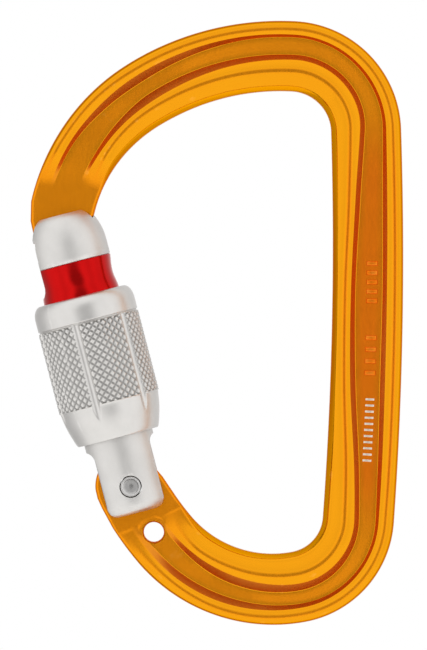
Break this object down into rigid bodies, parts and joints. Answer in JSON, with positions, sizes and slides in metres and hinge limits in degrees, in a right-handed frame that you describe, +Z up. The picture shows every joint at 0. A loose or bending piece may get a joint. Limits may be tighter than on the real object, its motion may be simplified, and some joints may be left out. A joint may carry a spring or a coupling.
{
  "type": "locking carabiner",
  "caption": "D-shaped screw-lock carabiner: forged H-section frame, spring-closed keylock gate and a knurled sleeve that screws up over the nose.",
  "frame": {"origin": "highest point of the frame's inner edge, on the mid-plane, where a sling or hanger bears", "axes": "+Z up along the spine from the hinge end to the wide end; +X from the gate towards the spine; +Y from the front face to the back, across the thickness"},
  "size_m": [0.0638, 0.0176, 0.1033],
  "materials": {
    "frame_orange": "orange anodised, glossy",
    "gate_silver": "clear anodised, satin bead-blasted",
    "sleeve_silver": "clear anodised, satin with diamond knurl",
    "indicator_red": "red anodised, glossy",
    "rivet_steel": "peened stainless steel",
    "spring_steel": "drawn spring wire",
    "plunger_brass": "turned brass",
    "brake_nylon": "moulded nylon"
  },
  "bodies": {
    "frame": {"frame": "frame_orange"},
    "gate": {"gate_body": "gate_silver", "indicator_band": "indicator_red", "hinge_rivet": "rivet_steel", "gate_spring": "spring_steel"},
    "plunger": {"spring_plunger": "plunger_brass"},
    "brake": {"brake_ring": "brake_nylon"},
    "sleeve": {"locking_sleeve": "sleeve_silver"}
  },
  "joints": [
    {"name": "gate_hinge", "type": "hinge", "parent": "frame", "child": "gate", "pos_m": [-0.02558, 0, -0.06762], "axis": [0, 1, 0], "range_deg": [0, 50], "stiffness_Nm_per_rad": 0.05, "springref_deg": -28.65},
    {"name": "plunger_slide", "type": "slide", "parent": "gate", "child": "plunger", "axis": [-0.2521, 0, 0.9677], "range_m": [0, 0.0016], "deforming": ["gate_spring"]},
    {"name": "sleeve_slide", "type": "slide", "parent": "gate", "child": "brake", "axis": [-0.2521, 0, 0.9677], "range_m": [0, 0.0147]},
    {"name": "sleeve_turn", "type": "hinge", "parent": "brake", "child": "sleeve", "pos_m": [-0.02558, 0, -0.06762], "axis": [-0.2521, 0, 0.9677], "range_deg": [0, 1325]}
  ],
  "couplings": [
    {"joint": "plunger_slide", "follows": "gate_hinge", "m_per_rad": 0.0017189},
    {"joint": "sleeve_turn", "follows": "sleeve_slide", "rad_per_m": 1570.8}
  ]
}
